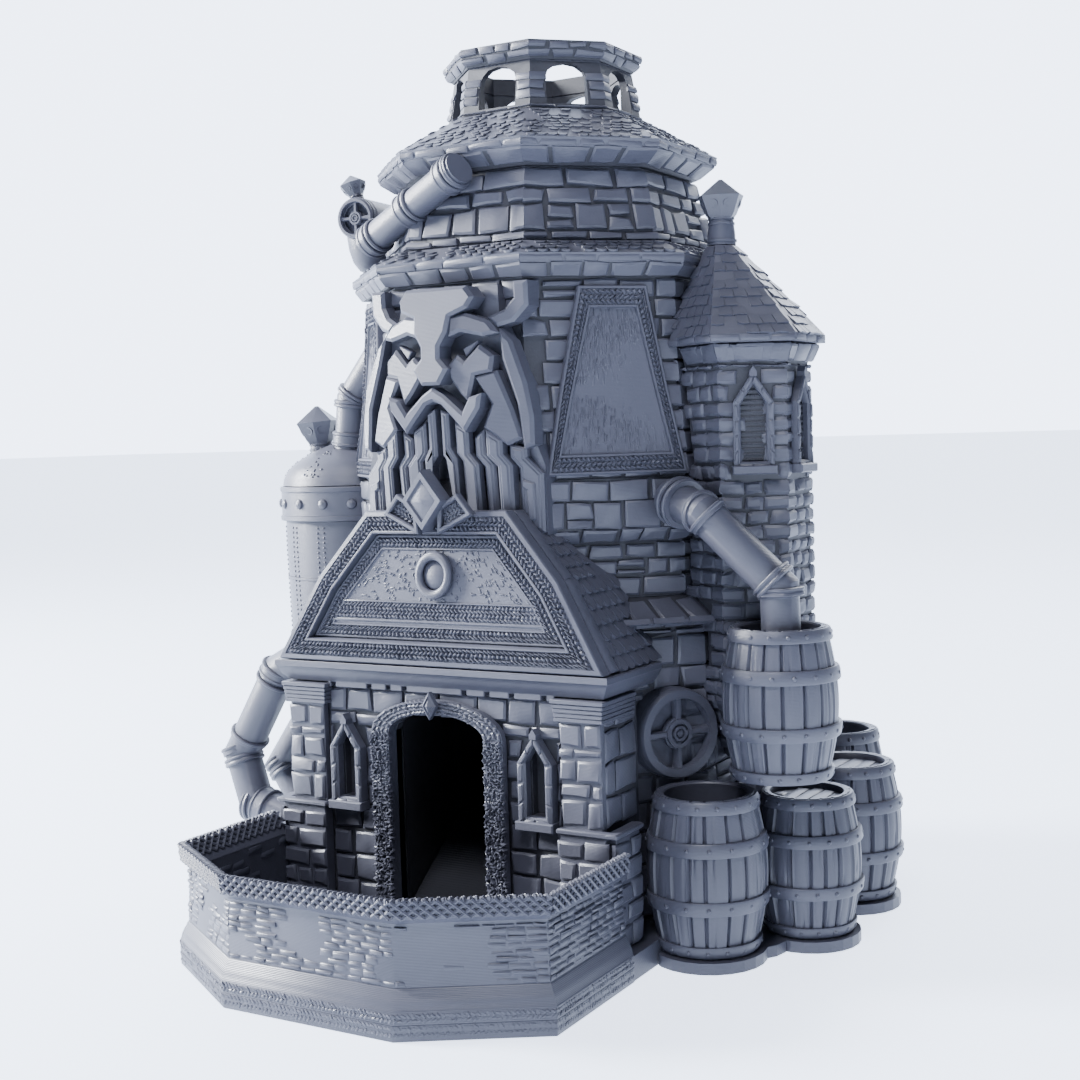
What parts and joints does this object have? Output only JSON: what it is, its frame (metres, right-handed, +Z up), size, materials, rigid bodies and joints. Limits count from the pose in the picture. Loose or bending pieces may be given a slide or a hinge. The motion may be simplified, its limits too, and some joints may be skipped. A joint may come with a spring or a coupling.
{
  "type": "dice tower",
  "caption": "Octagonal brick dice tower with baffled shaft, gatehouse exit, lift-off upper storey, sliding dice tray, side turret, pipes, boilers and barrels",
  "frame": {"origin": "centre of the tower's underside, where the tower's axis meets the table", "axes": "+Z up along the tower, -Y out of the gate over the tray, +X to the side with the turret and barrels"},
  "size_m": [0.1996, 0.1941, 0.25],
  "materials": {
    "base_plinth_plastic": "satin printed plastic with fine layer lines",
    "foot_wall_plastic": "satin printed plastic with fine layer lines",
    "ledge_course_plastic": "satin printed plastic with fine layer lines",
    "middle_wall_plastic": "satin printed plastic with fine layer lines",
    "main_wall_plastic": "satin printed plastic with fine layer lines",
    "lower_eave_plastic": "satin printed plastic with fine layer lines",
    "baffle_upper_plastic": "satin printed plastic with fine layer lines",
    "baffle_middle_plastic": "satin printed plastic with fine layer lines",
    "baffle_lower_plastic": "satin printed plastic with fine layer lines",
    "exit_ramp_plastic": "satin printed plastic with fine layer lines",
    "chute_wall_left_plastic": "satin printed plastic with fine layer lines",
    "chute_wall_right_plastic": "satin printed plastic with fine layer lines",
    "gatehouse_wall_plastic": "satin printed plastic with fine layer lines",
    "pilaster_left_plastic": "satin printed plastic with fine layer lines",
    "pilaster_right_plastic": "satin printed plastic with fine layer lines",
    "gate_window_left_plastic": "satin printed plastic with fine layer lines",
    "gate_window_right_plastic": "satin printed plastic with fine layer lines",
    "door_surround_plastic": "satin printed plastic with fine layer lines",
    "door_keystone_plastic": "satin printed plastic with fine layer lines",
    "gatehouse_cornice_plastic": "satin printed plastic with fine layer lines",
    "gable_facade_plastic": "satin printed plastic with fine layer lines",
    "gable_panel_plastic": "satin printed plastic with fine layer lines",
    "gable_roof_plastic": "satin printed plastic with fine layer lines",
    "gable_porthole_plastic": "satin printed plastic with fine layer lines",
    "gable_gem_plastic": "satin printed plastic with fine layer lines",
    "mask_relief_plastic": "satin printed plastic with fine layer lines",
    "framed_panel_left_plastic": "satin printed plastic with fine layer lines",
    "framed_panel_right_plastic": "satin printed plastic with fine layer lines",
    "side_hatch_plastic": "satin printed plastic with fine layer lines",
    "turret_wall_plastic": "satin printed plastic with fine layer lines",
    "turret_roof_plastic": "satin printed plastic with fine layer lines",
    "turret_window_front_plastic": "satin printed plastic with fine layer lines",
    "turret_window_side_plastic": "satin printed plastic with fine layer lines",
    "turret_chimney_plastic": "satin printed plastic with fine layer lines",
    "barrel_front_plastic": "satin printed plastic with fine layer lines",
    "barrel_middle_plastic": "satin printed plastic with fine layer lines",
    "barrel_rear_plastic": "satin printed plastic with fine layer lines",
    "barrel_upper_plastic": "satin printed plastic with fine layer lines",
    "barrel_back_plastic": "satin printed plastic with fine layer lines",
    "barrel_stand_plastic": "satin printed plastic with fine layer lines",
    "downpipe_plastic": "satin printed plastic with fine layer lines",
    "drain_pipe_front_plastic": "satin printed plastic with fine layer lines",
    "drain_pipe_rear_plastic": "satin printed plastic with fine layer lines",
    "boiler_pipe_plastic": "satin printed plastic with fine layer lines",
    "boiler_body_plastic": "satin printed plastic with fine layer lines",
    "boiler_hoop_plastic": "satin printed plastic with fine layer lines",
    "boiler_dome_plastic": "satin printed plastic with fine layer lines",
    "boiler_chimney_plastic": "satin printed plastic with fine layer lines",
    "drum_wall_plastic": "satin printed plastic with fine layer lines",
    "upper_roof_plastic": "satin printed plastic with fine layer lines",
    "cupola_arcade_plastic": "satin printed plastic with fine layer lines",
    "cupola_rim_plastic": "satin printed plastic with fine layer lines",
    "tank_pipe_plastic": "satin printed plastic with fine layer lines",
    "upper_tank_plastic": "satin printed plastic with fine layer lines",
    "upper_tank_wheel_plastic": "satin printed plastic with fine layer lines",
    "upper_tank_chimney_plastic": "satin printed plastic with fine layer lines",
    "tray_floor_plastic": "satin printed plastic with fine layer lines",
    "tray_foot_plastic": "satin printed plastic with fine layer lines",
    "tray_wall_plastic": "satin printed plastic with fine layer lines",
    "tray_rim_plastic": "satin printed plastic with fine layer lines"
  },
  "bodies": {
    "tower": {"base_plinth": "base_plinth_plastic", "foot_wall": "foot_wall_plastic", "ledge_course": "ledge_course_plastic", "middle_wall": "middle_wall_plastic", "main_wall": "main_wall_plastic", "lower_eave": "lower_eave_plastic", "baffle_upper": "baffle_upper_plastic", "baffle_middle": "baffle_middle_plastic", "baffle_lower": "baffle_lower_plastic", "exit_ramp": "exit_ramp_plastic", "chute_wall_left": "chute_wall_left_plastic", "chute_wall_right": "chute_wall_right_plastic", "gatehouse_wall": "gatehouse_wall_plastic", "pilaster_left": "pilaster_left_plastic", "pilaster_right": "pilaster_right_plastic", "gate_window_left": "gate_window_left_plastic", "gate_window_right": "gate_window_right_plastic", "door_surround": "door_surround_plastic", "door_keystone": "door_keystone_plastic", "gatehouse_cornice": "gatehouse_cornice_plastic", "gable_facade": "gable_facade_plastic", "gable_panel": "gable_panel_plastic", "gable_roof": "gable_roof_plastic", "gable_porthole": "gable_porthole_plastic", "gable_gem": "gable_gem_plastic", "mask_relief": "mask_relief_plastic", "framed_panel_left": "framed_panel_left_plastic", "framed_panel_right": "framed_panel_right_plastic", "side_hatch": "side_hatch_plastic", "turret_wall": "turret_wall_plastic", "turret_roof": "turret_roof_plastic", "turret_window_front": "turret_window_front_plastic", "turret_window_side": "turret_window_side_plastic", "turret_chimney": "turret_chimney_plastic", "barrel_front": "barrel_front_plastic", "barrel_middle": "barrel_middle_plastic", "barrel_rear": "barrel_rear_plastic", "barrel_upper": "barrel_upper_plastic", "barrel_back": "barrel_back_plastic", "barrel_stand": "barrel_stand_plastic", "downpipe": "downpipe_plastic", "drain_pipe_front": "drain_pipe_front_plastic", "drain_pipe_rear": "drain_pipe_rear_plastic", "boiler_pipe": "boiler_pipe_plastic", "boiler_body": "boiler_body_plastic", "boiler_hoop": "boiler_hoop_plastic", "boiler_dome": "boiler_dome_plastic", "boiler_chimney": "boiler_chimney_plastic"},
    "upper_storey": {"drum_wall": "drum_wall_plastic", "upper_roof": "upper_roof_plastic", "cupola_arcade": "cupola_arcade_plastic", "cupola_rim": "cupola_rim_plastic", "tank_pipe": "tank_pipe_plastic", "upper_tank": "upper_tank_plastic", "upper_tank_wheel": "upper_tank_wheel_plastic", "upper_tank_chimney": "upper_tank_chimney_plastic"},
    "tray": {"tray_floor": "tray_floor_plastic", "tray_foot": "tray_foot_plastic", "tray_wall": "tray_wall_plastic", "tray_rim": "tray_rim_plastic"}
  },
  "joints": [
    {"name": "upper_lift", "type": "slide", "parent": "tower", "child": "upper_storey", "axis": [0, 0, 1], "range_m": [0, 0.06]},
    {"name": "tray_pull", "type": "slide", "parent": "tower", "child": "tray", "axis": [0, -1, 0], "range_m": [0, 0.06]}
  ]
}
